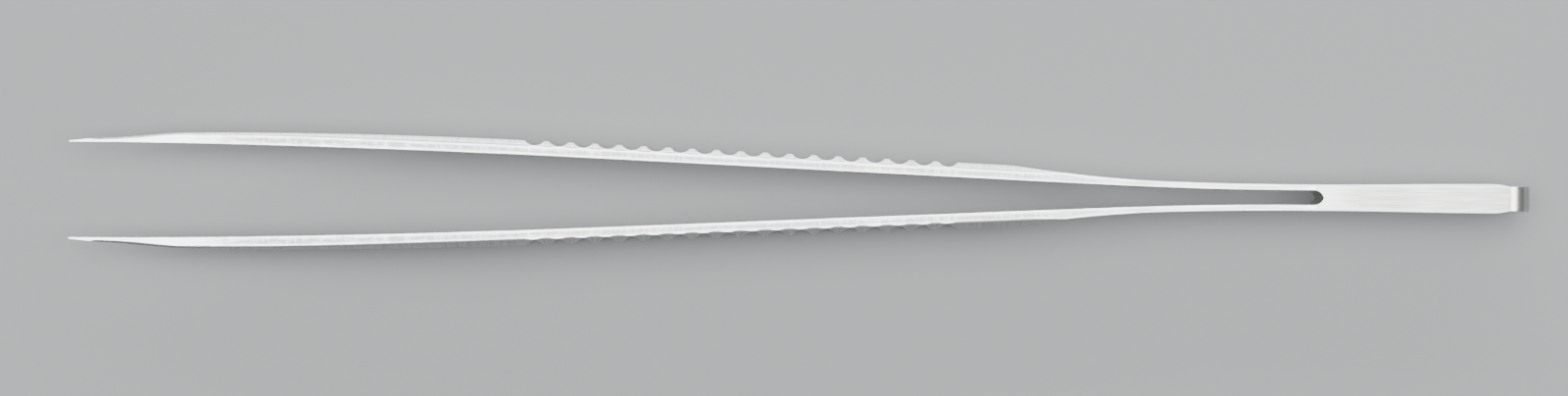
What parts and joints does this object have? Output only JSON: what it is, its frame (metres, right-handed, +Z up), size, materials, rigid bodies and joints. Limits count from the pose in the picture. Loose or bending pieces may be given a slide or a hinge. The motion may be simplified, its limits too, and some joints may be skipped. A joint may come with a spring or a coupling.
{
  "type": "microsurgical forceps",
  "caption": "Long slim spring forceps with two bevelled arms, scalloped grips, fine straight tips and a welded heel with a full-round end.",
  "frame": {"origin": "on the surface the forceps lie on, under the middle of their length and of their opening", "axes": "+X from the tips to the heel, +Y across the opening towards the right arm, +Z up, across the width of the arms"},
  "size_m": [0.18, 0.0144, 0.008],
  "materials": {
    "steel": "satin, brushed along the sides and ground across the bevels"
  },
  "bodies": {
    "heel": {"heel": "steel"},
    "right_arm": {"right_arm": "steel"},
    "left_arm": {"left_arm": "steel"}
  },
  "joints": [
    {"name": "right_arm_squeeze", "type": "hinge", "parent": "heel", "child": "right_arm", "pos_m": [0.05328, 0.0009, 0.004], "axis": [0, 0, 1], "range_deg": [0, 2.32], "stiffness_Nm_per_rad": 2.3},
    {"name": "left_arm_squeeze", "type": "hinge", "parent": "heel", "child": "left_arm", "pos_m": [0.05328, -0.0009, 0.004], "axis": [0, 0, -1], "range_deg": [0, 2.32], "stiffness_Nm_per_rad": 2.3}
  ]
}
